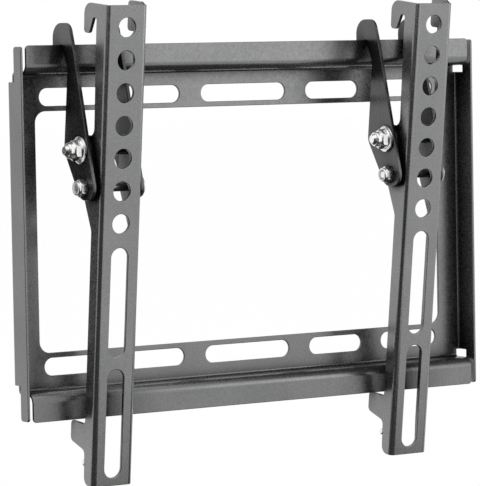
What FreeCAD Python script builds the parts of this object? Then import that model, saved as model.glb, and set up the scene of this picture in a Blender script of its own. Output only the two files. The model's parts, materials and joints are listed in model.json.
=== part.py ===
"""Tilting wall mount for a small television.

A folded steel wall plate carries two slotted arms.  Each arm hangs on the plate's top lip by a pair of
hook plates and tilts on a pivot bolt between them; a second bolt in a short slot clamps the tilt.

The wall is at y = 0 and the mount's front faces -Y, with +Z up.  The origin is the centre of the wall
plate's back.  Each arm is drawn in a frame of its own, with its origin on the pivot bolt's axis: local +Z
runs up the arm and local +Y runs back from the arm's front face.  Tilting turns that frame about X.
"""
import FreeCAD, Part
import os
import re
import Sketcher

# Driving dimensions, in millimetres and degrees
SIZES = {
    # Wall plate, a single folded sheet
    "plate_width": 288.0,
    "plate_height": 163.2,
    "plate_sheet": 1.4,
    "lip_reach": 14.9,
    "lip_height": 14.8,
    "lip_bend": 5.0,
    "lip_gap": 1.8,
    "lip_corner": 2.0,
    "shelf_bend": 2.6,
    "side_bend": 2.6,
    "flange_relief": 3.8,
    "tab_depth": 7.5,
    "tab_drop": 0.6,
    "tab_corner": 1.6,
    "side_strip": 15.6,
    "rail_height": 19.2,
    "window_corner": 6.0,
    "rail_slot_height": 9.2,
    "rail_slot_wall": 2.7,
    "rail_slot_web": 13.5,
    "rail_slot_edge": 18.2,
    "centre_slot": 53.8,
    "middle_slot": 34.5,
    # Places of the arms, in from the plate's sides, their full tilt, and how far the left one is off it
    "left_arm_inset": 40.5,
    "right_arm_inset": 56.2,
    "tilt": 7.0,
    "left_ease": 1.2,
    # Arm channel, measured down from its first hole and back from its front face
    "arm_width": 24.0,
    "arm_sheet": 1.8,
    "arm_bend": 2.5,
    "arm_top": 11.3,
    "arm_tail": 17.7,
    "arm_bottom_corner": 4.4,
    "hole_width": 10.0,
    "hole_pitch": 16.667,
    "hole_count": 7.0,
    "arm_slot_width": 10.0,
    "arm_slot_gap": 7.4,
    "arm_slot_web": 6.2,
    "arm_slot_edge": 4.2,
    "hook_depth": 23.2,
    "hook_corner": 5.8,
    "hook_tip_drop": 4.2,
    "hook_tip_depth": 22.8,
    "hook_tip_width": 5.3,
    "hook_tip_corner": 2.0,
    "hook_mouth_roof": 4.0,
    "hook_mouth_width": 3.2,
    "hook_mouth_corner": 1.4,
    "stop_depth": 17.0,
    "stop_rise": 1.3,
    "stop_drop": 3.0,
    "stop_corner": 2.2,
    "flange_top_depth": 10.7,
    "flange_depth": 9.5,
    "flange_foot_depth": 8.8,
    # Ear of the arm round its two bolts, and the foot below the plate's lower lip
    "ear_top_wall": 4.4,
    "ear_back_wall": 2.5,
    "ear_back_rise": 0.4,
    "ear_foot_fall": 22.0,
    "ear_corner": 6.6,
    "ear_root_corner": 4.4,
    "foot_clearance": 0.6,
    "foot_hold": 6.7,
    "foot_heel": 10.7,
    "foot_height": 13.9,
    "foot_corner": 2.2,
    "sole_corner": 2.8,
    # Tilt mechanism
    "pivot_reach": 34.4,
    "pivot_back": 10.68,
    "pivot_drop": 82.34,
    "hang_drop": 72.8,
    "lock_radius": 19.4,
    "lock_angle": 14.0,
    "pivot_bolt_width": 5.0,
    "lock_bolt_width": 6.0,
    "bolt_clearance": 0.08,
    "lock_clearance": 0.2,
    "friction_sheet": 2.2,
    "friction_width": 13.6,
    # Hook plate outline, measured from the top lip above and from the pivot below
    "hook_sheet": 2.0,
    "hang_clearance": 0.5,
    "prong_width": 7.4,
    "prong_drop": 7.0,
    "prong_corner": 2.0,
    "notch_drop": 2.0,
    "notch_corner": 0.5,
    "crown_height": 11.2,
    "crown_reach": 7.0,
    "crown_back_corner": 8.0,
    "crown_front_corner": 6.0,
    "knee_reach": 11.5,
    "knee_drop": 3.4,
    "neck_reach": 5.2,
    "neck_drop": 12.0,
    "limb_back_reach": 19.4,
    "limb_back_rise": 18.4,
    "limb_foot_front": 11.2,
    "limb_foot_back": 3.9,
    "limb_foot_drop": 6.4,
    "limb_corner": 7.2,
    # Fasteners
    "bolt_head_width": 12.0,
    "bolt_head_height": 4.2,
    "bolt_head_round": 1.8,
    "bolt_end_chamfer": 0.6,
    "lock_nut_across": 10.0,
    "lock_nut_height": 6.6,
    "lock_nut_flange": 14.0,
    "lock_nut_rim": 1.4,
    "lock_nut_collar": 8.6,
    "lock_nut_collar_height": 1.4,
    "lock_bolt_stickout": 1.6,
    "pivot_nut_across": 8.0,
    "pivot_nut_height": 3.6,
    "pivot_nut_collar": 7.4,
    "pivot_nut_collar_height": 1.4,
    "insert_width": 6.6,
    "insert_height": 1.2,
    # Short pin in the back edge of the arm's left flange
    "pin_width": 3.2,
    "pin_length": 5.0,
    "pin_drop": 6.4,
    "pin_stand": 0.9,
}

# Levels, depths and widths that follow from the sizes above
SHELF_LEVEL = "(plate_height / 2)"
LIP_EDGE = "(plate_height / 2 + lip_height)"
FLANGE_STOP = "(plate_height / 2 - flange_relief)"
WINDOW_TOP = "(plate_height / 2 - rail_height)"
RAIL_SLOT_LEVEL = "(%s + rail_slot_wall + rail_slot_height / 2)" % WINDOW_TOP
PIVOT_LEVEL = "(%s - hang_drop)" % LIP_EDGE
PIVOT_HOLE = "(pivot_bolt_width + 2 * bolt_clearance)"
LOCK_HOLE = "(lock_bolt_width + 2 * bolt_clearance)"
PIVOT_PLACE = ("0", "0")
LOCK_PLACE = ("lock_radius * sin(lock_angle)", "lock_radius * cos(lock_angle)")
LEFT_SEAT = "(arm_width / 2 + friction_sheet + hook_sheet)"
RIGHT_SEAT = "(arm_width / 2 + hook_sheet)"
EAR_DEPTH = "(pivot_back + %s + %s / 2 + ear_back_wall)" % (LOCK_PLACE[0], LOCK_HOLE)
EAR_RISE = "(%s + %s / 2 + ear_top_wall)" % (LOCK_PLACE[1], LOCK_HOLE)
LIP_BEHIND = "(pivot_reach - lip_reach + plate_sheet)"
LIP_BELOW = "(%s + %s + foot_clearance)" % (LIP_EDGE, PIVOT_LEVEL)
FOOT_TOP = "(pivot_drop + %s * cos(tilt) + %s * sin(tilt))" % (LIP_BELOW, LIP_BEHIND)
FOOT_DEPTH = "(pivot_back + %s * cos(tilt) - %s * sin(tilt) + foot_hold)" % (LIP_BEHIND, LIP_BELOW)
FOOT_SOLE = "(%s + foot_height)" % FOOT_TOP
ARM_BOTTOM = "(%s + arm_tail)" % FOOT_SOLE

# Largest share of a short wall that one corner's rounding may take
CORNER_SHARE = 0.45

PLANES = {"front": "XZ_Plane", "side": "YZ_Plane"}
X_AXIS = FreeCAD.Vector(1, 0, 0)
Y_AXIS = FreeCAD.Vector(0, 1, 0)
Z_AXIS = FreeCAD.Vector(0, 0, 1)

doc = FreeCAD.newDocument("tv_wall_mount")
sheet = doc.addObject("Spreadsheet::Sheet", "Sizes")
for row, (alias, size) in enumerate(SIZES.items(), start=1):
    sheet.set("A%d" % row, alias)
    sheet.set("B%d" % row, str(size))
    sheet.setAlias("B%d" % row, alias)
doc.recompute()


def value(formula):
    """The formula's value, with the sheet's names in it."""
    return float(sheet.evalExpression(formula))


def bind(target, name, formula):
    """Tie a property of an object to a formula in the sheet's names."""
    words = "|".join(sorted(SIZES, key=len, reverse=True))
    target.setExpression(name, re.sub(r"\b(%s)\b" % words, r"Sizes.\1", formula))


def new_body(label):
    body = doc.addObject("PartDesign::Body", label)
    body.Label = label
    return body


def new_sketch(body, plane, offset="0"):
    """A sketch on one of the body's origin planes, moved along that plane's normal."""
    sketch = body.newObject("Sketcher::SketchObject", "Sketch")
    origin_plane = [item for item in body.Origin.OriginFeatures if item.Role == PLANES[plane]][0]
    sketch.AttachmentSupport = [(origin_plane, "")]
    sketch.MapMode = "FlatFace"
    bind(sketch, "AttachmentOffset.Base.z", offset)
    return sketch


def dimension(sketch, kind, places, formula):
    """Add a dimension that follows a formula."""
    index = sketch.addConstraint(Sketcher.Constraint(kind, *places, value(formula)))
    bind(sketch, "Constraints[%d]" % index, formula)


def fix_point(sketch, geometry, point, place):
    """Hold a point of a sketch at a place given by two formulas."""
    dimension(sketch, "DistanceX", (-1, 1, geometry, point), place[0])
    dimension(sketch, "DistanceY", (-1, 1, geometry, point), place[1])


def draw_polygon(sketch, corners):
    """A closed outline with straight sides through the corners."""
    vectors = [FreeCAD.Vector(value(across), value(up), 0) for across, up in corners]
    count = len(corners)
    for index in range(count):
        sketch.addGeometry(Part.LineSegment(vectors[index], vectors[(index + 1) % count]), False)
    for index in range(count):
        sketch.addConstraint(Sketcher.Constraint("Coincident", index, 2, (index + 1) % count, 1))
    for index, corner in enumerate(corners):
        fix_point(sketch, index, 1, corner)


def draw_circle(sketch, centre, width):
    middle = FreeCAD.Vector(value(centre[0]), value(centre[1]), 0)
    circle = Part.Circle(middle, FreeCAD.Vector(0, 0, 1), value(width) / 2)
    index = sketch.addGeometry(circle, False)
    fix_point(sketch, index, 3, centre)
    dimension(sketch, "Diameter", (index,), width)


def draw_slot(sketch, first, last, width):
    """A round-ended slot between two centres."""
    start = FreeCAD.Vector(value(first[0]), value(first[1]), 0)
    end = FreeCAD.Vector(value(last[0]), value(last[1]), 0)
    along = (end - start).normalize()
    aside = FreeCAD.Vector(-along.y, along.x, 0) * (value(width) / 2)
    tip = along * (value(width) / 2)
    head = sketch.addGeometry(Part.Arc(start + aside, start - tip, start - aside), False)
    right = sketch.addGeometry(Part.LineSegment(start - aside, end - aside), False)
    tail = sketch.addGeometry(Part.Arc(end - aside, end + tip, end + aside), False)
    left = sketch.addGeometry(Part.LineSegment(end + aside, start + aside), False)
    for arc, line, corner, line_end in ((head, right, start - aside, 1), (tail, right, end - aside, 2),
                                        (tail, left, end + aside, 1), (head, left, start + aside, 2)):
        gap = sketch.getPoint(arc, 1).distanceToPoint(corner)
        arc_end = 1 if gap < value(width) / 4 else 2
        sketch.addConstraint(Sketcher.Constraint("Tangent", arc, arc_end, line, line_end))
    sketch.addConstraint(Sketcher.Constraint("Equal", head, tail))
    dimension(sketch, "Diameter", (head,), width)
    fix_point(sketch, head, 3, first)
    fix_point(sketch, tail, 3, last)


def add_pad(body, sketch, length, both_ways=False, backwards=False):
    pad = body.newObject("PartDesign::Pad", "Pad")
    pad.Profile = sketch
    pad.SideType = "Symmetric" if both_ways else "One side"
    pad.Reversed = backwards
    bind(pad, "Length", length)
    doc.recompute()
    return pad


def add_pocket(body, sketch, both_ways=True):
    """Cut the sketch right through the body."""
    before = body.Shape.Volume
    pocket = body.newObject("PartDesign::Pocket", "Pocket")
    pocket.Profile = sketch
    pocket.SideType = "Two sides" if both_ways else "One side"
    pocket.Type = "ThroughAll"
    pocket.Type2 = "ThroughAll"
    doc.recompute()
    if pocket.Shape.Volume >= before:
        raise RuntimeError("%s: a cut removed nothing" % body.Label)
    return pocket


def edges_at(shape, direction, places):
    """Names of the straight edges along a direction that pass through the given places."""
    names = []
    for number, edge in enumerate(shape.Edges, start=1):
        if not isinstance(edge.Curve, Part.Line) or abs(edge.Curve.Direction.dot(direction)) < 0.999:
            continue
        for place in places:
            offset = edge.Vertexes[0].Point - place
            if (offset - direction * offset.dot(direction)).Length < 0.01:
                names.append("Edge%d" % number)
                break
    return names


def add_fillet(body, direction, places, radius, kind="Fillet"):
    """Round (or chamfer) the edges along a direction at places given by formulas."""
    base = body.Tip
    points = [FreeCAD.Vector(*[value(part) for part in place]) for place in places]
    names = edges_at(base.Shape, direction, points)
    if len(names) < len(places):
        raise RuntimeError("%s: found %d of %d edges" % (body.Label, len(names), len(places)))
    feature = body.newObject("PartDesign::" + kind, kind)
    feature.Base = (base, names)
    bind(feature, "Size" if kind == "Chamfer" else "Radius", radius)
    doc.recompute()
    return feature


def add_rim(body, kind, centre, along, width, size):
    """Round or chamfer the circular edge of the given width about a point."""
    base = body.Tip
    middle = FreeCAD.Vector(value(along), value(centre[0]), value(centre[1]))
    names = []
    for number, edge in enumerate(base.Shape.Edges, start=1):
        if isinstance(edge.Curve, Part.Circle) and edge.Curve.Center.distanceToPoint(middle) < 0.01:
            if abs(edge.Curve.Radius - value(width) / 2) < 0.01:
                names.append("Edge%d" % number)
    if not names:
        raise RuntimeError("%s: found no rim" % body.Label)
    feature = body.newObject("PartDesign::" + kind, kind)
    feature.Base = (base, names)
    bind(feature, "Size" if kind == "Chamfer" else "Radius", size)
    doc.recompute()


def make_wall_plate():
    """The folded sheet: a frame on the wall, top and bottom shelves with lips, and two side flanges."""
    body = new_body("wall_plate")
    lip_half = "plate_width / 2 - plate_sheet - lip_gap"

    section = new_sketch(body, "side")
    lip_front = "-lip_reach"
    lip_back = "plate_sheet - lip_reach"
    edges = (LIP_EDGE, "-" + LIP_EDGE)
    shelves = (SHELF_LEVEL, "-" + SHELF_LEVEL)
    over = SHELF_LEVEL + " + plate_sheet"
    under = "-%s - plate_sheet" % SHELF_LEVEL
    draw_polygon(section, [
        (lip_front, edges[0]), (lip_front, shelves[0]), ("-plate_sheet", shelves[0]),
        ("-plate_sheet", shelves[1]), (lip_front, shelves[1]), (lip_front, edges[1]),
        (lip_back, edges[1]), (lip_back, under), ("0", under), ("0", over), (lip_back, over),
        (lip_back, edges[0])])
    add_pad(body, section, "2 * (%s)" % lip_half, both_ways=True)
    add_fillet(body, X_AXIS, [("0", lip_back, over), ("0", lip_back, under)], "lip_bend - plate_sheet")
    add_fillet(body, X_AXIS, [("0", lip_front, shelf) for shelf in shelves], "lip_bend")
    add_fillet(body, X_AXIS, [("0", "0", over), ("0", "0", under)], "shelf_bend")
    add_fillet(body, X_AXIS, [("0", "-plate_sheet", shelf) for shelf in shelves], "shelf_bend - plate_sheet")
    lip_ends = [(end, lip_front, edge) for end in (lip_half, "-(%s)" % lip_half) for edge in edges]
    add_fillet(body, Y_AXIS, lip_ends, "lip_corner")

    strip = new_sketch(body, "side", lip_half)
    stops = (FLANGE_STOP, "-" + FLANGE_STOP)
    draw_polygon(strip, [("0", stops[1]), ("0", stops[0]), ("-plate_sheet", stops[0]),
                         ("-plate_sheet", stops[1])])
    strip_pad = add_pad(body, strip, "plate_sheet + lip_gap")
    flange = new_sketch(body, "side", "plate_width / 2 - plate_sheet")
    tab_back = "tab_depth - lip_reach"
    tab_top = LIP_EDGE + " - tab_drop"
    tab_foot = "tab_drop - " + LIP_EDGE
    draw_polygon(flange, [
        ("0", stops[1]), ("0", stops[0]), (tab_back, stops[0]), (tab_back, tab_top), (lip_front, tab_top),
        (lip_front, tab_foot), (tab_back, tab_foot), (tab_back, stops[1])])
    flange_pad = add_pad(body, flange, "plate_sheet")
    mirror = body.newObject("PartDesign::Mirrored", "Mirrored")
    mirror.Originals = [strip_pad, flange_pad]
    middle = [item for item in body.Origin.OriginFeatures if item.Role == "YZ_Plane"][0]
    mirror.MirrorPlane = (middle, [""])
    body.Tip = mirror
    doc.recompute()

    sides = ("plate_width / 2", "-plate_width / 2")
    insides = ("plate_width / 2 - plate_sheet", "plate_sheet - plate_width / 2")
    add_fillet(body, Z_AXIS, [(side, "0", "0") for side in sides], "side_bend")
    add_fillet(body, Z_AXIS, [(side, "-plate_sheet", "0") for side in insides], "side_bend - plate_sheet")
    tabs = [("0", depth, edge) for depth in (tab_back, lip_front) for edge in (tab_top, tab_foot)]
    add_fillet(body, X_AXIS, tabs, "tab_corner")

    window = new_sketch(body, "front")
    side = "(plate_width / 2 - side_strip)"
    foot = "-" + WINDOW_TOP
    corners = [("-" + side, foot), (side, foot), (side, WINDOW_TOP), ("-" + side, WINDOW_TOP)]
    draw_polygon(window, corners)
    add_pocket(body, window)
    add_fillet(body, Y_AXIS, [(across, "0", up) for across, up in corners], "window_corner")

    slots = new_sketch(body, "front")
    end = "rail_slot_height / 2"
    middle_start = "centre_slot / 2 + rail_slot_web"
    middle_stop = middle_start + " + middle_slot"
    outer_start = middle_stop + " + rail_slot_web"
    outer_stop = "plate_width / 2 - rail_slot_edge"
    spans = [("centre_slot / -2", "centre_slot / 2")]
    for start, stop in ((middle_start, middle_stop), (outer_start, outer_stop)):
        spans.append((start, stop))
        spans.append(("-(%s)" % stop, "-(%s)" % start))
    for level in (RAIL_SLOT_LEVEL, "-" + RAIL_SLOT_LEVEL):
        for start, stop in spans:
            first = ("%s + %s" % (start, end), level)
            last = ("%s - %s" % (stop, end), level)
            draw_slot(slots, first, last, "rail_slot_height")
    add_pocket(body, slots)
    return body


def on_arm(drop, depth):
    """A place in the arm's frame, from its drop below the first hole and its depth behind the front face."""
    return ("%s - pivot_back" % depth, "pivot_drop - (%s)" % drop)


def at_ear(rise, depth):
    """A place in the arm's frame, from its rise above the pivot and its depth behind the front face."""
    return ("%s - pivot_back" % depth, rise)


def no_more_than(radius, wall):
    """The radius of a corner, kept within its share of a short wall."""
    return "min(%s; %s * (%s))" % (radius, CORNER_SHARE, wall)


def pin_place():
    """Where the pin sits in the arm's frame, on the back edge of the flange."""
    return on_arm(FOOT_SOLE + " + pin_drop", "flange_depth + pin_stand")


def add_to_flange(body, corners, side):
    """A sheet outline on the arm's left or right flange."""
    outline = new_sketch(body, "side", "arm_width / -2" if side == "left" else "arm_width / 2 - arm_sheet")
    draw_polygon(outline, corners)
    add_pad(body, outline, "arm_sheet")


def make_arm(label):
    """The slotted channel that the television is bolted to, with an ear on each flange."""
    body = new_body(label)
    corners = {
        "front_top": on_arm("-arm_top", "0"),
        "back_top": on_arm("-arm_top", "flange_top_depth"),
        "back_knee": on_arm("hook_tip_drop", "flange_top_depth"),
        "ear_root": at_ear(EAR_RISE, "flange_depth"),
        "ear_top": at_ear(EAR_RISE, EAR_DEPTH),
        "ear_back": at_ear("ear_back_rise", EAR_DEPTH),
        "ear_foot": at_ear("-ear_foot_fall", "flange_depth"),
        "sole": on_arm(FOOT_SOLE, "flange_depth"),
        "back_bottom": on_arm(ARM_BOTTOM, "flange_foot_depth"),
        "front_bottom": on_arm(ARM_BOTTOM, "0"),
    }
    outline = new_sketch(body, "side")
    draw_polygon(outline, list(corners.values()))
    add_pad(body, outline, "arm_width", both_ways=True)
    ear_wall = EAR_DEPTH + " - flange_depth"
    rounding = {
        "arm_bottom_corner": ("back_bottom",),
        no_more_than("ear_root_corner", ear_wall): ("ear_root",),
        no_more_than("ear_corner", ear_wall): ("ear_top", "ear_back", "ear_foot"),
    }
    for radius, names in rounding.items():
        add_fillet(body, X_AXIS, [("0",) + corners[name] for name in names], radius)

    inside = "arm_width / 2 - arm_sheet"
    channel = new_sketch(body, "front", "pivot_back - arm_sheet")
    above = on_arm("-arm_top - arm_bend", "0")[1]
    below = on_arm(ARM_BOTTOM + " + arm_bend", "0")[1]
    sides = ("-(%s)" % inside, inside)
    draw_polygon(channel, [(sides[0], below), (sides[1], below), (sides[1], above), (sides[0], above)])
    add_pocket(body, channel, both_ways=False)
    front = "-pivot_back"
    add_fillet(body, Z_AXIS, [("arm_width / 2", front, "0"), ("arm_width / -2", front, "0")], "arm_bend")
    back = "arm_sheet - pivot_back"
    add_fillet(body, Z_AXIS, [(side, back, "0") for side in sides], "arm_bend - arm_sheet")
    shape_flanges(body)

    openings = new_sketch(body, "front")
    hole_count = int(value("hole_count"))
    for number in range(hole_count):
        draw_circle(openings, ("0", on_arm("%d * hole_pitch" % number, "0")[1]), "hole_width")
    slots_top = "(%d * hole_pitch + hole_width / 2 + arm_slot_gap)" % (hole_count - 1)
    slot_length = "((%s - arm_slot_edge - %s - arm_slot_web) / 2)" % (ARM_BOTTOM, slots_top)
    for top in (slots_top, "%s + %s + arm_slot_web" % (slots_top, slot_length)):
        first = on_arm("%s + arm_slot_width / 2" % top, "0")[1]
        last = on_arm("%s + %s - arm_slot_width / 2" % (top, slot_length), "0")[1]
        draw_slot(openings, ("0", first), ("0", last), "arm_slot_width")
    add_pocket(body, openings)
    cut_bolt_holes(body)
    return body


def shape_flanges(body):
    """The hook, foot and pin seat of the arm's left flange, and the plain stop of its right flange."""
    hook_root = on_arm("-arm_top", "flange_depth")
    hook = {
        "top": on_arm("-arm_top", "hook_depth"),
        "tip_back": on_arm("hook_tip_drop", "hook_tip_depth"),
        "tip_front": on_arm("hook_tip_drop", "hook_tip_depth - hook_tip_width"),
        "mouth_back": on_arm("-hook_mouth_roof", "flange_top_depth + hook_mouth_width"),
    }
    mouth_root = on_arm("-hook_mouth_roof", "flange_depth")
    add_to_flange(body, [hook_root] + list(hook.values()) + [mouth_root], "left")
    stop = [on_arm("-arm_top - stop_rise", "stop_depth"), on_arm("stop_drop", "stop_depth")]
    stop_front = [on_arm("-arm_top", "arm_bend"), on_arm("-arm_top - stop_rise", "2 * arm_bend")]
    add_to_flange(body, stop_front + stop + [on_arm("stop_drop", "flange_depth")], "right")
    foot = {
        "top": on_arm(FOOT_TOP, FOOT_DEPTH),
        "heel": on_arm(FOOT_TOP + " + foot_heel", FOOT_DEPTH),
        "sole": on_arm(FOOT_SOLE, "flange_depth"),
        "root": on_arm(FOOT_TOP, "flange_depth"),
    }
    foot_inside = [on_arm(FOOT_SOLE, "arm_bend"), on_arm(FOOT_TOP, "arm_bend")]
    add_to_flange(body, [foot["top"], foot["heel"], foot["sole"]] + foot_inside, "left")
    rounding = {
        "hook_corner": [hook["top"]],
        no_more_than("hook_tip_corner", "hook_tip_width"): [hook["tip_back"], hook["tip_front"]],
        no_more_than("hook_mouth_corner", "hook_mouth_width"): [
            hook["mouth_back"], on_arm("-hook_mouth_roof", "flange_top_depth")],
        "stop_corner": stop,
        "foot_corner": [foot["top"], foot["root"]],
        "sole_corner": [foot["heel"], foot["sole"]],
    }
    for radius, places in rounding.items():
        add_fillet(body, X_AXIS, [("0",) + place for place in places], radius)
    seat = new_sketch(body, "side", "arm_width / -2 + pin_length")
    draw_circle(seat, pin_place(), "pin_width + 2 * bolt_clearance")
    add_pocket(body, seat, both_ways=False)


def cut_bolt_holes(body):
    """Round holes for the pivot and lock bolts, through whatever the body has at them."""
    holes = new_sketch(body, "side")
    draw_circle(holes, PIVOT_PLACE, PIVOT_HOLE)
    draw_circle(holes, LOCK_PLACE, LOCK_HOLE)
    add_pocket(body, holes)


def make_friction_plate(label, near_side):
    """The oval spacer between an ear of the arm and a hook plate, keyed on both bolts."""
    body = new_body(label)
    outline = new_sketch(body, "side", near_side)
    draw_slot(outline, PIVOT_PLACE, LOCK_PLACE, "friction_width")
    add_pad(body, outline, "friction_sheet")
    cut_bolt_holes(body)
    return body


def make_hook_plate(label, near_side):
    """The plate that hangs on the top lip and holds the arm's pivot."""
    body = new_body(label)
    notch_front = "-lip_reach - hang_clearance"
    notch_back = "plate_sheet - lip_reach + hang_clearance"
    prong_back = notch_back + " + prong_width"
    prong_end = LIP_EDGE + " - prong_drop"
    crown = LIP_EDGE + " + crown_height"
    foot = PIVOT_LEVEL + " - limb_foot_drop"
    corners = {
        "prong_heel": (prong_back, prong_end),
        "crown_back": (prong_back, crown),
        "crown_front": ("-lip_reach - crown_reach", crown),
        "knee": ("-lip_reach - knee_reach", LIP_EDGE + " - knee_drop"),
        "foot_front": ("-pivot_reach - limb_foot_front", foot),
        "foot_back": ("limb_foot_back - pivot_reach", foot),
        "back": ("limb_back_reach - pivot_reach", PIVOT_LEVEL + " + limb_back_rise"),
        "neck": ("-lip_reach - neck_reach", LIP_EDGE + " - neck_drop"),
        "notch_lip": (notch_front, LIP_EDGE + " - notch_drop"),
        "notch_front": (notch_front, LIP_EDGE),
        "notch_back": (notch_back, LIP_EDGE),
        "prong_toe": (notch_back, prong_end),
    }
    outline = new_sketch(body, "side", near_side)
    draw_polygon(outline, list(corners.values()))
    add_pad(body, outline, "hook_sheet")
    foot_wall = "limb_foot_front + limb_foot_back"
    rounding = {
        no_more_than("prong_corner", "prong_width"): ("prong_heel", "prong_toe"),
        "crown_back_corner": ("crown_back",),
        "crown_front_corner": ("crown_front",),
        no_more_than("limb_corner", foot_wall): ("foot_front", "foot_back", "back", "neck"),
        "notch_corner": ("notch_lip",),
    }
    for radius, names in rounding.items():
        add_fillet(body, X_AXIS, [("0",) + corners[name] for name in names], radius)

    holes = new_sketch(body, "side")
    draw_circle(holes, ("-pivot_reach", PIVOT_LEVEL), PIVOT_HOLE)
    ends = []
    for angle in ("lock_angle - tilt", "lock_angle"):
        level = "%s + lock_radius * cos(%s)" % (PIVOT_LEVEL, angle)
        ends.append(("lock_radius * sin(%s) - pivot_reach" % angle, level))
    draw_slot(holes, ends[0], ends[1], "lock_bolt_width + 2 * lock_clearance")
    add_pocket(body, holes)
    return body


def make_bolt(label, place, width, tail):
    """A round-headed bolt across the arm, with its head on the right-hand hook plate."""
    body = new_body(label)
    head = new_sketch(body, "side", RIGHT_SEAT)
    draw_circle(head, place, "bolt_head_width")
    add_pad(body, head, "bolt_head_height")
    shank = new_sketch(body, "side", RIGHT_SEAT)
    draw_circle(shank, place, width)
    add_pad(body, shank, "%s + %s + %s" % (RIGHT_SEAT, LEFT_SEAT, tail), backwards=True)
    crown = "%s + bolt_head_height" % RIGHT_SEAT
    add_rim(body, "Fillet", place, crown, "bolt_head_width", "bolt_head_round")
    add_rim(body, "Chamfer", place, "-%s - (%s)" % (LEFT_SEAT, tail), width, "bolt_end_chamfer")
    return body


def draw_hexagon(sketch, centre, across):
    corners = []
    for number in range(6):
        angle = 60 * number + 30
        corners.append(("%s + %s / sqrt(3) * sin(%d)" % (centre[0], across, angle),
                        "%s + %s / sqrt(3) * cos(%d)" % (centre[1], across, angle)))
    draw_polygon(sketch, corners)


def make_lock_nut(label):
    """A hexagon nut with a washer flange and a locking collar, on the left-hand hook plate."""
    body = new_body(label)
    seat = "-%s" % LEFT_SEAT
    flange = new_sketch(body, "side", seat)
    draw_circle(flange, LOCK_PLACE, "lock_nut_flange")
    add_pad(body, flange, "lock_nut_rim", backwards=True)
    hexagon = new_sketch(body, "side", seat)
    draw_hexagon(hexagon, LOCK_PLACE, "lock_nut_across")
    add_pad(body, hexagon, "lock_nut_height", backwards=True)
    collar = new_sketch(body, "side", seat)
    draw_circle(collar, LOCK_PLACE, "lock_nut_collar")
    add_pad(body, collar, "lock_nut_height + lock_nut_collar_height", backwards=True)
    bore = new_sketch(body, "side")
    draw_circle(bore, LOCK_PLACE, LOCK_HOLE)
    add_pocket(body, bore)
    return body


def make_pivot_nut(label):
    """A small hexagon locking nut with a collar that holds a ring of nylon."""
    body = new_body(label)
    seat = "-%s" % LEFT_SEAT
    hexagon = new_sketch(body, "side", seat)
    draw_hexagon(hexagon, PIVOT_PLACE, "pivot_nut_across")
    add_pad(body, hexagon, "pivot_nut_height", backwards=True)
    collar = new_sketch(body, "side", seat)
    draw_circle(collar, PIVOT_PLACE, "pivot_nut_collar")
    add_pad(body, collar, "pivot_nut_height + pivot_nut_collar_height", backwards=True)
    bore = new_sketch(body, "side")
    draw_circle(bore, PIVOT_PLACE, PIVOT_HOLE)
    add_pocket(body, bore)
    rim = "%s - pivot_nut_height - pivot_nut_collar_height" % seat
    recess = new_sketch(body, "side", rim + " + insert_height")
    draw_circle(recess, PIVOT_PLACE, "insert_width")
    add_pocket(body, recess, both_ways=False)
    return body


def make_nut_insert(label):
    """The nylon ring in the collar of the pivot nut."""
    body = new_body(label)
    ring = new_sketch(body, "side", "-%s - pivot_nut_height - pivot_nut_collar_height" % LEFT_SEAT)
    draw_circle(ring, PIVOT_PLACE, "insert_width")
    draw_circle(ring, PIVOT_PLACE, PIVOT_HOLE)
    add_pad(body, ring, "insert_height")
    return body


def make_foot_pin(label):
    """The short round pin in the back edge of the arm's left flange, below the foot."""
    body = new_body(label)
    section = new_sketch(body, "side", "arm_width / -2")
    draw_circle(section, pin_place(), "pin_width")
    add_pad(body, section, "pin_length")
    return body


def make_arm_set(side, place, tilt):
    """One arm with its tilt mechanism, and the pair of hook plates that it hangs from."""
    pivot = FreeCAD.Vector(value(place), -value("pivot_reach"), value(PIVOT_LEVEL))
    tilted = FreeCAD.Placement(pivot, FreeCAD.Rotation(X_AXIS, value(tilt)))
    on_rail = FreeCAD.Placement(FreeCAD.Vector(value(place), 0, 0), FreeCAD.Rotation())
    ear = "arm_width / 2"
    tilting = [
        make_arm(side + "_arm"),
        make_friction_plate(side + "_friction_plate", "-%s - friction_sheet" % ear),
        make_bolt(side + "_tilt_bolt", LOCK_PLACE, "lock_bolt_width",
                  "lock_nut_height + lock_nut_collar_height + lock_bolt_stickout"),
        make_lock_nut(side + "_tilt_nut"),
        make_bolt(side + "_pivot_bolt", PIVOT_PLACE, "pivot_bolt_width",
                  "pivot_nut_height + pivot_nut_collar_height - insert_height / 2"),
        make_pivot_nut(side + "_pivot_nut"),
        make_nut_insert(side + "_pivot_nut_insert"),
        make_foot_pin(side + "_foot_pin"),
    ]
    hanging = [
        make_hook_plate(side + "_hook_plate_nut_side", "-%s - friction_sheet - hook_sheet" % ear),
        make_hook_plate(side + "_hook_plate_head_side", ear),
    ]
    for body in tilting:
        body.Placement = tilted
    for body in hanging:
        body.Placement = on_rail
    return tilting + hanging


subparts = [make_wall_plate()]
subparts += make_arm_set("left", "left_arm_inset - plate_width / 2", "tilt - left_ease")
subparts += make_arm_set("right", "plate_width / 2 - right_arm_inset", "tilt")
doc.recompute()

for item in doc.Objects:
    if "Invalid" in item.State or "Error" in item.State:
        raise RuntimeError("%s failed: %s" % (item.Label, item.State))
for body in subparts:
    if body.Shape.isNull() or not body.Shape.isValid() or len(body.Shape.Solids) != 1:
        raise RuntimeError("%s has no sound solid" % body.Label)

os.makedirs("parts", exist_ok=True)
for body in subparts:
    body.Shape.exportStep("parts/%s.step" % body.Label)
    print("%s: %.0f cubic mm" % (body.Label, body.Shape.Volume))
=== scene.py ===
import json
import math

import bpy
from mathutils import Matrix, Vector


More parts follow.
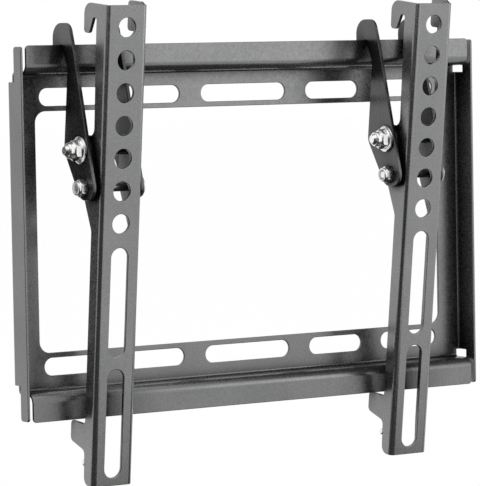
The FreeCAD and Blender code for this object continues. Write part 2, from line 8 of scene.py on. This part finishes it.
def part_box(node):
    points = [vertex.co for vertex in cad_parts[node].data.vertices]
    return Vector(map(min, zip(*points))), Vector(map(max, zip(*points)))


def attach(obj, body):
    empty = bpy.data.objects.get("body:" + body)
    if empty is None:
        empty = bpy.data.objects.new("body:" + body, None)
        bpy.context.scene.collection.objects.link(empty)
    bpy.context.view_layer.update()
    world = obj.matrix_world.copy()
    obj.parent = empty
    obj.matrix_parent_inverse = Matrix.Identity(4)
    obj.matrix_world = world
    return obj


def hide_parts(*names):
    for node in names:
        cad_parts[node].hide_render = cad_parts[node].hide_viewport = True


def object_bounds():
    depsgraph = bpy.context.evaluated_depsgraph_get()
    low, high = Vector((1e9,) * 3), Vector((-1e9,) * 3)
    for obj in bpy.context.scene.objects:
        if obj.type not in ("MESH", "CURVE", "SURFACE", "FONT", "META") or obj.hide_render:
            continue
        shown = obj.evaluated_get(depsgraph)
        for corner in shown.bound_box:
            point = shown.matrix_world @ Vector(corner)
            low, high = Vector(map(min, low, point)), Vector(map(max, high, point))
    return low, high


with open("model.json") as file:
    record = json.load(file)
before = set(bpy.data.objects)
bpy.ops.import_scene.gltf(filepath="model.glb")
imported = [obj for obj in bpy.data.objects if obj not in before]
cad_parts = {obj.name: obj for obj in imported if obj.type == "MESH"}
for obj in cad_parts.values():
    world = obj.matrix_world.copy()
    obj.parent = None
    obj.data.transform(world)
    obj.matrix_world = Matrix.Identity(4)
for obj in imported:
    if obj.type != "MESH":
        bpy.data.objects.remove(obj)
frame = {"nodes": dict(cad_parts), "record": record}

CAD_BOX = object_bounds()
SIDES = ("left", "right")
SLOT_OF = {item["node"]: item["material_slot"] for item in frame["record"]["subparts"]}

# Camera, in degrees and metres, and the photograph's frame in pixels
VIEW_AZIMUTH = -33.33
VIEW_ELEVATION = 3.463
VIEW_ROLL = -1.012
VIEW_DISTANCE = 1.7193
VIEW_OFFSET = (-0.002232, -0.011409)
FOCAL_PIXELS = 3200
FRAME_HEIGHT = 486
SENSOR_WIDTH = 36.0
FAR_CLIP = 100.0

# Floor and world: metres, linear greys, and shares of plain white
FLOOR_DROP = 0.18
FLOOR_HALF = 14.0
FLOOR_GREYS = (0.95, 0.97)
FLOOR_GLOW = 0.88
WORLD_FILL = 0.98
WHITE = (1.0, 1.0, 1.0, 1.0)

# Black flags, in metres and in degrees from straight in front
CLOTH_GREYS = (0.012, 0.02)
FLAG_TURNS = ((-98, -68), (-68, -39), (-39, -10))
FLAG_REACH = 3.0
FLAG_LEVELS = (-0.3, 0.9)
LOW_FLAG_REACH = 0.3
LOW_FLAG_LEVEL = -0.285
OVER_FLAG = {"turns": (50, 130), "reach": 1.5, "levels": (0.6, 3.0)}
BELOW_FLAG = {"x": (-0.4, 0.4), "y": (-0.45, 0.35), "level": -0.29}

# Soft lamps that point at the origin, in metres and watts
LAMPS = {"key": {"place": (1.4, -1.6, 0.5), "size": (1.2, 1.2), "power": 4.5},
         "top": {"place": (0.0, -0.5, 1.8), "size": (1.6, 1.0), "power": 4.0}}

# Noises: grains a metre, and detail
NOISES = {"coat_grain": (1500.0, 3.0), "coat_peel": (420.0, 2.0), "coat_cloud": (28.0, 4.0),
          "zinc_cloud": (350.0, 3.0), "zinc_grain": (3000.0, 2.0), "nylon_cloud": (900.0, 2.0),
          "floor_cloud": (2.0, 3.0), "cloth_weave": (90.0, 2.0)}
NOISE_MIDDLE = (0.3, 0.7)

# Powder coat: linear levels by kind of sheet, shares of that level, and metres. The levels are lit and shaded
# copies of one coat: the hook plates' dark level paints shade and the arms' pale level paints light.
COAT_LIT_AND_SHADED_LEVELS = {"wall_plate": ("plate_coat", 0.195), "arm": ("arm_coat_painted_light", 0.235), "hook": ("hook_coat_painted_shade", 0.115)}
COAT_CLOUDS = ((0.91, -0.01), (1.09, -0.005))
COAT_SPECKS = (0.65, 1.35)
SPECK_RANGE = (0.35, 0.68)
SPECK_SHARE = 0.3
COAT_METALLIC = 0.9
COAT_ROUGHNESS = (0.23, 0.31)
GRAIN_BUMP = (0.00004, 0.12)
PEEL_BUMP = (0.0001, 0.1)
# Painted shade deep in folds and close behind other pieces: its darkest share of the level, reach in metres,
# samples, and the spans of occlusion that it is painted over
SHADE_LEVEL = 0.15
SHADE_REACH = 0.03
SHADE_SAMPLES = 8
FOLD_SHADE_RANGE = (0.42, 0.76)
NEIGHBOUR_SHADE_RANGE = (0.64, 0.94)
# Paler sharp edges, partly rubbed coat and partly a painted highlight: their share of the level, and the edge
# mask's radius, samples and cosines
EDGE_WEAR_AND_HIGHLIGHT_LEVEL = 1.4
EDGE_RADIUS = 0.0005
EDGE_SAMPLES = 6
EDGE_COSINES = (0.985, 0.80)

# Zinc plate and nylon: linear colours, and metres
ZINC_GREYS = ((0.95, 0.004), (0.86, 0.01))
ZINC_CLOUD_RANGE = (0.35, 0.7)
ZINC_ROUGHNESS = (0.26, 0.36)
ZINC_BUMP = (0.00003, 0.3)
NYLON_COLOURS = ((0.62, 0.64, 0.68, 1.0), (0.78, 0.79, 0.80, 1.0))
NYLON_SCATTER = (0.0006, 0.0006, 0.0006)
NYLON_BUMP = (0.00005, 0.3)

# The sheets' broken edges, in metres and degrees
WELD_REACH = 0.00001
FLAT_ANGLE = 0.5
BREAK_WIDTH = 0.00035
BREAK_SEGMENTS = 3
BREAK_ANGLE = 50

# Fasteners, in metres and degrees
TURNS = 96
NUT_TURN = 4.0
NUT_CHAMFER_STEPS = 4
SMOOTH_ANGLE = 30.0
THREAD_SMOOTH_ANGLE = 40.0
BORE_OVERLAP = 0.00001
TILT_NUT = {"across": 0.0094, "flange": 0.014, "rim": 0.0008, "cone": 0.0019, "hex_top": 0.0054,
            "collar": 0.0078, "bore": 0.0031, "chamfer_tall": 0.0009, "chamfer_deep": 0.00112}
PIVOT_NUT = {"across": 0.008, "hex_top": 0.0036, "collar": 0.0074, "bore": 0.0026, "seat": 0.0033,
             "seat_deep": 0.0012, "chamfer_tall": 0.0006, "chamfer_deep": 0.00088}
INSERT = {"bore": 0.00258, "lip": 0.0028, "crown": 0.0030, "round": 0.0004}
BOLTS = {"tilt_bolt": {"shank": 0.006, "pitch": 0.001, "tail": 0.011},
         "pivot_bolt": {"shank": 0.005, "pitch": 0.0008, "tail": 0.005}}
HEAD_TALL = 0.0022
HEAD_DOME = 0.0019
DOME_SHARES = (0.6, 0.75, 0.86, 0.94)
DOME_POWER = 6
THREAD_DEPTH = 0.55
THREAD_CORE = 0.55
THREAD_TAPER = 0.9
THREAD_RINGS = 10
PIN_FOOT = 0.0005


def shader_tree(name):
    """A new material with an empty node tree, its output node and the place on the object in metres."""
    material = bpy.data.materials.new(name)
    material.use_nodes = True
    tree = material.node_tree
    tree.nodes.clear()
    output = tree.nodes.new("ShaderNodeOutputMaterial")
    place = add_node(tree, "ShaderNodeTexCoord").outputs["Object"]
    return material, tree, output, place


def add_node(tree, kind, settings=None, **sockets):
    """Add a node, set its options and its plain input values."""
    node = tree.nodes.new(kind)
    for key, setting in (settings or {}).items():
        setattr(node, key, setting)
    for key, setting in sockets.items():
        node.inputs[key.replace("_", " ")].default_value = setting
    return node


def add_noise(tree, place, name):
    """One of the named noises over a place in metres."""
    scale, detail = NOISES[name]
    noise = add_node(tree, "ShaderNodeTexNoise", Scale=scale, Detail=detail)
    tree.links.new(place, noise.inputs["Vector"])
    return noise.outputs["Fac"]


def add_range(tree, source, span, new_span=(0.0, 1.0)):
    """Stretch a value's span to a new one."""
    stretch = add_node(tree, "ShaderNodeMapRange")
    for socket, number in zip(("From Min", "From Max", "To Min", "To Max"), (*span, *new_span)):
        stretch.inputs[socket].default_value = number
    tree.links.new(source, stretch.inputs["Value"])
    return stretch.outputs["Result"]


def add_mix(tree, factor, first, second):
    """Blend two colours by a factor; each of the three is a plain value or another node's output."""
    mix = add_node(tree, "ShaderNodeMix", {"data_type": "RGBA"})
    for socket, given in ((mix.inputs["Factor"], factor), (mix.inputs[6], first), (mix.inputs[7], second)):
        if isinstance(given, (float, tuple)):
            socket.default_value = given
        else:
            tree.links.new(given, socket)
    return mix.outputs[2]


def add_math(tree, operation, first, second):
    """Work out one number from two."""
    node = add_node(tree, "ShaderNodeMath", {"operation": operation})
    tree.links.new(first, node.inputs[0])
    tree.links.new(second, node.inputs[1])
    return node.outputs["Value"]


def add_bump(tree, height, sizes, normal=None):
    """Bump of a depth in metres and a strength, on top of another one if given."""
    bump = add_node(tree, "ShaderNodeBump", Distance=sizes[0], Strength=sizes[1])
    tree.links.new(height, bump.inputs["Height"])
    if normal is not None:
        tree.links.new(normal, bump.inputs["Normal"])
    return bump.outputs["Normal"]


def edge_mask(tree):
    """Near 1 on a sharp edge and 0 away from it."""
    bevel = add_node(tree, "ShaderNodeBevel", {"samples": EDGE_SAMPLES}, Radius=EDGE_RADIUS)
    surface = add_node(tree, "ShaderNodeNewGeometry")
    dot = add_node(tree, "ShaderNodeVectorMath", {"operation": "DOT_PRODUCT"})
    tree.links.new(bevel.outputs["Normal"], dot.inputs[0])
    tree.links.new(surface.outputs["Normal"], dot.inputs[1])
    return add_range(tree, dot.outputs["Value"], EDGE_COSINES)


def painted_shade_share(tree):
    """Painted shade: 1 in the open, and less deep inside a folded sheet or close behind another piece, by
    ambient occlusion.
    """
    shares = []
    for own_only in (False, True):
        settings = {"samples": SHADE_SAMPLES, "only_local": own_only}
        shares.append(add_node(tree, "ShaderNodeAmbientOcclusion", settings, Distance=SHADE_REACH).outputs["AO"])
    both, own = shares
    others = add_math(tree, "DIVIDE", both, own)
    return add_math(tree, "MULTIPLY", add_range(tree, own, FOLD_SHADE_RANGE), add_range(tree, others, NEIGHBOUR_SHADE_RANGE))


def grey(level, warmth=0.0):
    """A grey of that linear level, warmer or cooler by a small share."""
    return (level * (1 + warmth), level, level * (1 - warmth), 1.0)


def make_powder_coat(name, level):
    """Satin anthracite powder coat of a linear level: fine grain, soft orange peel, painted shade deep in folds
    and close behind other pieces, and paler along the edges, partly rubbed coat and partly a painted highlight.
    """
    material, tree, output, place = shader_tree(name)
    grain = add_noise(tree, place, "coat_grain")
    peel = add_noise(tree, place, "coat_peel")
    cloud = add_noise(tree, place, "coat_cloud")

    tones = [grey(level * share, warmth) for share, warmth in COAT_CLOUDS]
    specks = [grey(level * share) for share in COAT_SPECKS]
    tone = add_mix(tree, add_range(tree, cloud, NOISE_MIDDLE), *tones)
    speck = add_mix(tree, add_range(tree, grain, SPECK_RANGE), *specks)
    coat = add_mix(tree, SPECK_SHARE, tone, speck)
    # Painted shade: the coat darkens towards SHADE_LEVEL deep in folds and close behind other pieces
    shaded = add_mix(tree, painted_shade_share(tree), grey(level * SHADE_LEVEL), coat)
    # Paler along sharp edges: partly rubbed coat, partly a painted highlight
    worn_and_highlit = add_mix(tree, edge_mask(tree), shaded, grey(level * EDGE_WEAR_AND_HIGHLIGHT_LEVEL))

    shader = add_node(tree, "ShaderNodeBsdfPrincipled", Metallic=COAT_METALLIC, IOR=1.5)
    tree.links.new(worn_and_highlit, shader.inputs["Base Color"])
    tree.links.new(add_range(tree, peel, NOISE_MIDDLE, COAT_ROUGHNESS), shader.inputs["Roughness"])
    fine = add_bump(tree, grain, GRAIN_BUMP)
    tree.links.new(add_bump(tree, peel, PEEL_BUMP, fine), shader.inputs["Normal"])
    tree.links.new(shader.outputs["BSDF"], output.inputs["Surface"])
    return material


def make_zinc_plate():
    """Bright zinc on turned and rolled steel, with a fine grain and a few dull patches."""
    material, tree, output, place = shader_tree("zinc_plate")
    cloud = add_noise(tree, place, "zinc_cloud")
    grain = add_noise(tree, place, "zinc_grain")
    tones = [grey(level, warmth) for level, warmth in ZINC_GREYS]
    tone = add_mix(tree, add_range(tree, cloud, ZINC_CLOUD_RANGE), *tones)
    shader = add_node(tree, "ShaderNodeBsdfPrincipled", Metallic=1.0)
    tree.links.new(tone, shader.inputs["Base Color"])
    tree.links.new(add_range(tree, cloud, NOISE_MIDDLE, ZINC_ROUGHNESS), shader.inputs["Roughness"])
    tree.links.new(add_bump(tree, grain, ZINC_BUMP), shader.inputs["Normal"])
    tree.links.new(shader.outputs["BSDF"], output.inputs["Surface"])
    return material


def make_nylon():
    """Milky moulded nylon."""
    material, tree, output, place = shader_tree("nylon")
    cloud = add_noise(tree, place, "nylon_cloud")
    shader = add_node(tree, "ShaderNodeBsdfPrincipled", Roughness=0.45, Subsurface_Weight=0.15)
    shader.inputs["Subsurface Radius"].default_value = NYLON_SCATTER
    tree.links.new(add_mix(tree, cloud, *NYLON_COLOURS), shader.inputs["Base Color"])
    tree.links.new(add_bump(tree, cloud, NYLON_BUMP), shader.inputs["Normal"])
    tree.links.new(shader.outputs["BSDF"], output.inputs["Surface"])
    return material


COATS = {kind: make_powder_coat(name, level) for kind, (name, level) in COAT_LIT_AND_SHADED_LEVELS.items()}
FINISHES = {"zinc_steel": make_zinc_plate(), "nylon": make_nylon()}


def coat_of(name):
    """The coat of a folded or cut sheet: each kind of sheet gets a level of its own, the hook plates' dark one
    as painted shade and the arms' pale one as painted light.
    """
    if name in COATS:
        return COATS[name]
    return COATS["arm"] if name.endswith("_arm") else COATS["hook"]


def dress_cad_nodes():
    """Give every CAD node the finish of its slot, and break the sheets' cut edges a little."""
    for name, node in frame["nodes"].items():
        node.data.materials.clear()
        node.data.materials.append(FINISHES.get(SLOT_OF[name]) or coat_of(name))
        if SLOT_OF[name] != "coated_steel":
            continue
        weld = node.modifiers.new("weld", "WELD")
        weld.merge_threshold = WELD_REACH
        flats = node.modifiers.new("flats", "DECIMATE")
        flats.decimate_type = "DISSOLVE"
        flats.angle_limit = math.radians(FLAT_ANGLE)
        edges = node.modifiers.new("edges", "BEVEL")
        edges.width = BREAK_WIDTH
        edges.segments = BREAK_SEGMENTS
        edges.limit_method = "ANGLE"
        edges.angle_limit = math.radians(BREAK_ANGLE)
        edges.use_clamp_overlap = False
        edges.harden_normals = True


def hexagon_reach(angle, across):
    """How far a hexagon's side is from its middle, at an angle from one of its corners."""
    within = (angle + math.pi / 6) % (math.pi / 3) - math.pi / 6
    return across / 2 / math.cos(math.pi / 6 - abs(within))


def rounds(profile):
    """Plain round rings from pairs of height and radius."""
    return [(height, "round", radius) for height, radius in profile]


def arc(start, end, count):
    """Heights and radii along a quarter round from one point to another, bulging outwards."""
    spread = []
    for step in range(count + 1):
        angle = math.pi / 2 * step / count
        spread.append((start[0] + (end[0] - start[0]) * math.sin(angle),
                       end[1] + (start[1] - end[1]) * math.cos(angle)))
    return spread


def chamfer(sizes, corner):
    """Rings of a nut's hexagon from the foot of its chamfer to its top."""
    foot = sizes["hex_top"] - sizes["chamfer_tall"]
    rings = []
    for step in range(NUT_CHAMFER_STEPS + 1):
        share = step / NUT_CHAMFER_STEPS
        rings.append((foot + sizes["chamfer_tall"] * share, "hex", corner - sizes["chamfer_deep"] * share))
    return rings


def turned_mesh(name, rings, shape_of=None):
    """Join rings about an axis along -X into a closed skin.

    Each ring is a height, a kind and a radius. A ring that isn't round has its radius changed by shape_of.
    """
    points = []
    faces = []
    for height, kind, radius in rings:
        for step in range(TURNS):
            angle = 2 * math.pi * step / TURNS
            reach = radius if kind == "round" else shape_of(kind, radius, angle, height)
            points.append((-height, reach * math.sin(angle), reach * math.cos(angle)))
    for ring in range(len(rings) - 1):
        for step in range(TURNS):
            here = ring * TURNS + step
            ahead = ring * TURNS + (step + 1) % TURNS
            faces.append((here, ahead, ahead + TURNS, here + TURNS))
    last = (len(rings) - 1) * TURNS
    faces.append(tuple(reversed(range(TURNS))))
    faces.append(tuple(range(last, last + TURNS)))
    mesh = bpy.data.meshes.new(name)
    mesh.from_pydata(points, [], faces)
    mesh.validate()
    return mesh


def axis_of(node):
    """The end of a fastener's axis on its +X side, its length along -X, and half its height."""
    low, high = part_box(node)
    end = Vector((high.x, (low.y + high.y) / 2, (low.z + high.z) / 2))
    return end, high.x - low.x, (high.z - low.z) / 2


def place_piece(mesh, node, body, end, turn=0.0, smooth=SMOOTH_ANGLE):
    """Set a turned piece on its axis, in place of its CAD node."""
    for face in mesh.polygons:
        face.use_smooth = True
    mesh.set_sharp_from_angle(angle=math.radians(smooth))
    piece = bpy.data.objects.new(node + "_detailed", mesh)
    mesh.materials.append(FINISHES[SLOT_OF[node]])
    piece.matrix_world = Matrix.Translation(end) @ Matrix.Rotation(math.radians(turn), 4, "X")
    bpy.context.scene.collection.objects.link(piece)
    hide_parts(node)
    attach(piece, body)


def make_tilt_nut(node, body):
    """A flanged hexagon nut with chamfered corners, a domed washer flange and a crimped locking collar."""
    end, tall, _ = axis_of(node)
    across, bore = TILT_NUT["across"], TILT_NUT["bore"]
    rim, cone, top = TILT_NUT["rim"], TILT_NUT["cone"], TILT_NUT["hex_top"]
    flange = TILT_NUT["flange"] / 2
    collar = TILT_NUT["collar"] / 2
    corner = across / math.sqrt(3)

    def shape_of(kind, radius, angle, height):
        side = hexagon_reach(angle, across)
        return min(side, radius) if kind == "hex" else max(side, radius)

    rings = rounds([(0.0, bore), (0.0, flange - 0.0003), (0.0002, flange - 0.0001),
                    (rim, flange), (rim + 0.0003, flange - 0.00035)])
    rings += [(cone - 0.0005, "foot", corner + 0.0002), (cone, "foot", corner - 0.0001),
              (cone + 0.0001, "hex", corner)]
    rings += chamfer(TILT_NUT, corner)
    rings += rounds([(top, collar + 0.0001), (top + 0.0002, collar)])
    rings += rounds(arc((tall - 0.0008, collar), (tall, collar - 0.0009), 5))
    rings += rounds([(tall, bore + 0.0003), (tall - 0.0004, bore), (0.0, bore - BORE_OVERLAP)])
    place_piece(turned_mesh(node, rings, shape_of), node, body, end, NUT_TURN)


def make_pivot_nut(node, insert, body):
    """A small hexagon nut with a rolled collar over its ring of nylon."""
    end, tall, _ = axis_of(node)
    top, bore, seat = PIVOT_NUT["hex_top"], PIVOT_NUT["bore"], PIVOT_NUT["seat"]
    collar = PIVOT_NUT["collar"] / 2
    corner = PIVOT_NUT["across"] / math.sqrt(3)
    shelf = tall - PIVOT_NUT["seat_deep"]

    def shape_of(kind, radius, angle, height):
        return min(hexagon_reach(angle, PIVOT_NUT["across"]), radius)

    rings = rounds([(0.0, bore)])
    rings += [(0.0, "hex", corner - 0.0005), (0.0003, "hex", corner)]
    rings += chamfer(PIVOT_NUT, corner)
    rings += rounds([(top + 0.0001, collar)])
    rings += rounds(arc((tall - 0.0007, collar), (tall, collar - 0.0006), 5))
    rings += rounds([(tall, collar - 0.0008), (tall - 0.0003, seat), (shelf, seat), (shelf, bore),
                     (0.0, bore - BORE_OVERLAP)])
    place_piece(turned_mesh(node, rings, shape_of), node, body, end, NUT_TURN)

    ring_end, deep, _ = axis_of(insert)
    hole = INSERT["bore"]
    shoulder = deep - INSERT["round"]
    profile = [(0.0, hole), (0.0, seat), (shoulder, seat)]
    profile += arc((shoulder, seat), (deep, INSERT["crown"]), 4)
    profile += [(deep, INSERT["lip"]), (deep - 0.0003, hole), (0.0, hole - BORE_OVERLAP)]
    place_piece(turned_mesh(insert, rounds(profile)), insert, body, Vector((ring_end.x, end.y, end.z)))


def make_bolt(node, kind, body):
    """A low domed bolt with a rolled thread on its end."""
    end, long, head = axis_of(node)
    pitch, tail = BOLTS[kind]["pitch"], BOLTS[kind]["tail"]
    shank = BOLTS[kind]["shank"] / 2

    def shape_of(kind, radius, angle, height):
        turn = (height / pitch - angle / (2 * math.pi)) % 1.0
        groove = pitch * THREAD_DEPTH * abs(2 * turn - 1)
        return max(min(shank - groove, radius), shank * THREAD_CORE)

    rings = rounds([(0.00002, head * 0.12), (0.00005, head * 0.4)])
    rings += rounds((0.0001 + HEAD_DOME * share ** DOME_POWER, head * share) for share in DOME_SHARES)
    rings += rounds([(0.0016, head * 0.99), (HEAD_DOME, head), (HEAD_TALL, head - 0.0002), (HEAD_TALL, shank),
                     (long - tail, shank)])
    steps = int(tail / pitch * THREAD_RINGS)
    for step in range(1, steps + 1):
        height = long - tail + tail * step / steps
        rings.append((height, "thread", shank - max(0.0, height - (long - pitch)) * THREAD_TAPER))
    place_piece(turned_mesh(node, rings, shape_of), node, body, end, smooth=THREAD_SMOOTH_ANGLE)


def make_pin(node, body):
    """A short pin with rounded ends."""
    end, long, radius = axis_of(node)
    foot = arc((0.0, radius), (PIN_FOOT, radius - 0.0006), 4)
    profile = [(0.0, radius - 0.0008)]
    profile += [(PIN_FOOT - height, reach) for height, reach in reversed(foot)]
    profile += arc((long - 0.0006, radius), (long, radius - 0.0007), 5)
    place_piece(turned_mesh(node, rounds(profile)), node, body, end)


def make_fasteners():
    """The nuts, bolts and pin of both arms."""
    for side in SIDES:
        rider = side + "_arm"
        make_tilt_nut(side + "_tilt_nut", rider)
        make_pivot_nut(side + "_pivot_nut", side + "_pivot_nut_insert", rider)
        for kind in BOLTS:
            make_bolt("%s_%s" % (side, kind), kind, rider)
        make_pin(side + "_foot_pin", rider)


def make_camera():
    """The photograph's viewpoint."""
    azimuth = math.radians(VIEW_AZIMUTH)
    elevation = math.radians(VIEW_ELEVATION)
    back = Vector((math.sin(azimuth) * math.cos(elevation), -math.cos(azimuth) * math.cos(elevation),
                   math.sin(elevation)))
    level = Vector((0, 0, 1)).cross(back).normalized()
    turn = Matrix.Rotation(math.radians(VIEW_ROLL), 3, back)
    right = turn @ level
    up = turn @ back.cross(level)
    data = bpy.data.cameras.new("camera")
    data.sensor_width = SENSOR_WIDTH
    data.lens = FOCAL_PIXELS * SENSOR_WIDTH / FRAME_HEIGHT
    data.clip_end = FAR_CLIP
    camera = bpy.data.objects.new("camera", data)
    place = back * VIEW_DISTANCE + right * VIEW_OFFSET[0] + up * VIEW_OFFSET[1]
    camera.matrix_world = Matrix.Translation(place) @ Matrix((right, up, back)).transposed().to_4x4()
    bpy.context.scene.collection.objects.link(camera)
    bpy.context.scene.camera = camera


def seen_straight(tree):
    """1 for a ray from the camera or one that metal or glass sends on, and 0 for scattered light."""
    path = tree.nodes.new("ShaderNodeLightPath")
    direct = add_math(tree, "MAXIMUM", path.outputs["Is Camera Ray"], path.outputs["Is Glossy Ray"])
    return add_math(tree, "MAXIMUM", direct, path.outputs["Is Transmission Ray"])


def make_world():
    """Plain white surroundings, seen at full strength by the camera and in reflections."""
    world = bpy.data.worlds.new("studio")
    bpy.context.scene.world = world
    world.use_nodes = True
    tree = world.node_tree
    tree.nodes.clear()
    output = tree.nodes.new("ShaderNodeOutputWorld")
    strength = add_range(tree, seen_straight(tree), (0.0, 1.0), (WORLD_FILL, 1.0))
    background = add_node(tree, "ShaderNodeBackground", Color=WHITE)
    tree.links.new(strength, background.inputs["Strength"])
    tree.links.new(background.outputs["Background"], output.inputs["Surface"])


def add_panel(name, corners, material):
    """A flat panel of the studio."""
    mesh = bpy.data.meshes.new(name)
    mesh.from_pydata(corners, [], [tuple(range(len(corners)))])
    mesh.materials.append(material)
    panel = bpy.data.objects.new(name, mesh)
    bpy.context.scene.collection.objects.link(panel)
    return panel


def make_floor():
    """A wide white floor below the mount; it keeps a part of the shadow."""
    material, tree, output, place = shader_tree("white_floor")
    cloud = add_noise(tree, place, "floor_cloud")
    shader = add_node(tree, "ShaderNodeBsdfPrincipled", Roughness=0.9, Specular_IOR_Level=0.1)
    tones = [grey(level) for level in FLOOR_GREYS]
    tree.links.new(add_mix(tree, cloud, *tones), shader.inputs["Base Color"])
    glow = add_node(tree, "ShaderNodeEmission", Color=WHITE, Strength=1.0)
    blend = tree.nodes.new("ShaderNodeMixShader")
    share = add_range(tree, seen_straight(tree), (0.0, 1.0), (0.0, FLOOR_GLOW))
    tree.links.new(share, blend.inputs["Fac"])
    tree.links.new(shader.outputs["BSDF"], blend.inputs[1])
    tree.links.new(glow.outputs["Emission"], blend.inputs[2])
    tree.links.new(blend.outputs["Shader"], output.inputs["Surface"])
    level = CAD_BOX[0].z - FLOOR_DROP
    corners = [(x * FLOOR_HALF, y * FLOOR_HALF, level) for x, y in ((-1, -1), (1, -1), (1, 1), (-1, 1))]
    add_panel("floor", corners, material)


def make_flag_cloth():
    """Dull black cloth."""
    material, tree, output, place = shader_tree("black_cloth")
    weave = add_noise(tree, place, "cloth_weave")
    shader = add_node(tree, "ShaderNodeBsdfPrincipled", Roughness=1.0, Specular_IOR_Level=0.0)
    tones = [grey(level) for level in CLOTH_GREYS]
    tree.links.new(add_mix(tree, weave, *tones), shader.inputs["Base Color"])
    tree.links.new(shader.outputs["BSDF"], output.inputs["Surface"])
    return material


def around(azimuth, reach, level):
    """A point round the mount, at an angle from straight in front."""
    turn = math.radians(azimuth)
    return (reach * math.sin(turn), -reach * math.cos(turn), level)


def make_flags():
    """Black studio flags that only reflections see."""
    outlines = {}
    low, high = FLAG_LEVELS
    for first, last in FLAG_TURNS:
        outlines["flag_%d" % first] = [around(first, FLAG_REACH, low), around(last, FLAG_REACH, low),
                                       around(last, FLAG_REACH, high), around(first, FLAG_REACH, high)]
        outlines["flag_low_%d" % first] = [
            around(first, LOW_FLAG_REACH, LOW_FLAG_LEVEL), around(last, LOW_FLAG_REACH, LOW_FLAG_LEVEL),
            around(last, FLAG_REACH, LOW_FLAG_LEVEL), around(first, FLAG_REACH, LOW_FLAG_LEVEL)]
    (first, last), reach, (low, high) = OVER_FLAG["turns"], OVER_FLAG["reach"], OVER_FLAG["levels"]
    outlines["flag_over"] = [around(first, reach, low), around(last, reach, low),
                             around(last, reach, high), around(first, reach, high)]
    (left, right), (front, back), level = BELOW_FLAG["x"], BELOW_FLAG["y"], BELOW_FLAG["level"]
    outlines["flag_below"] = [(left, front, level), (right, front, level),
                              (right, back, level), (left, back, level)]
    cloth = make_flag_cloth()
    for name, corners in outlines.items():
        flag = add_panel(name, corners, cloth)
        flag.visible_camera = False
        flag.visible_diffuse = False
        flag.visible_shadow = False


def make_lamps():
    """Large soft lamps that point at the mount."""
    for name, lamp in LAMPS.items():
        data = bpy.data.lights.new(name, "AREA")
        data.shape = "RECTANGLE"
        data.size, data.size_y = lamp["size"]
        data.energy = lamp["power"]
        softbox = bpy.data.objects.new(name, data)
        softbox.location = lamp["place"]
        softbox.rotation_euler = (-Vector(lamp["place"])).to_track_quat("-Z", "Y").to_euler()
        bpy.context.scene.collection.objects.link(softbox)


dress_cad_nodes()
make_fasteners()
make_camera()
make_world()
make_floor()
make_flags()
make_lamps()

bpy.context.scene.view_settings.view_transform = "Standard"
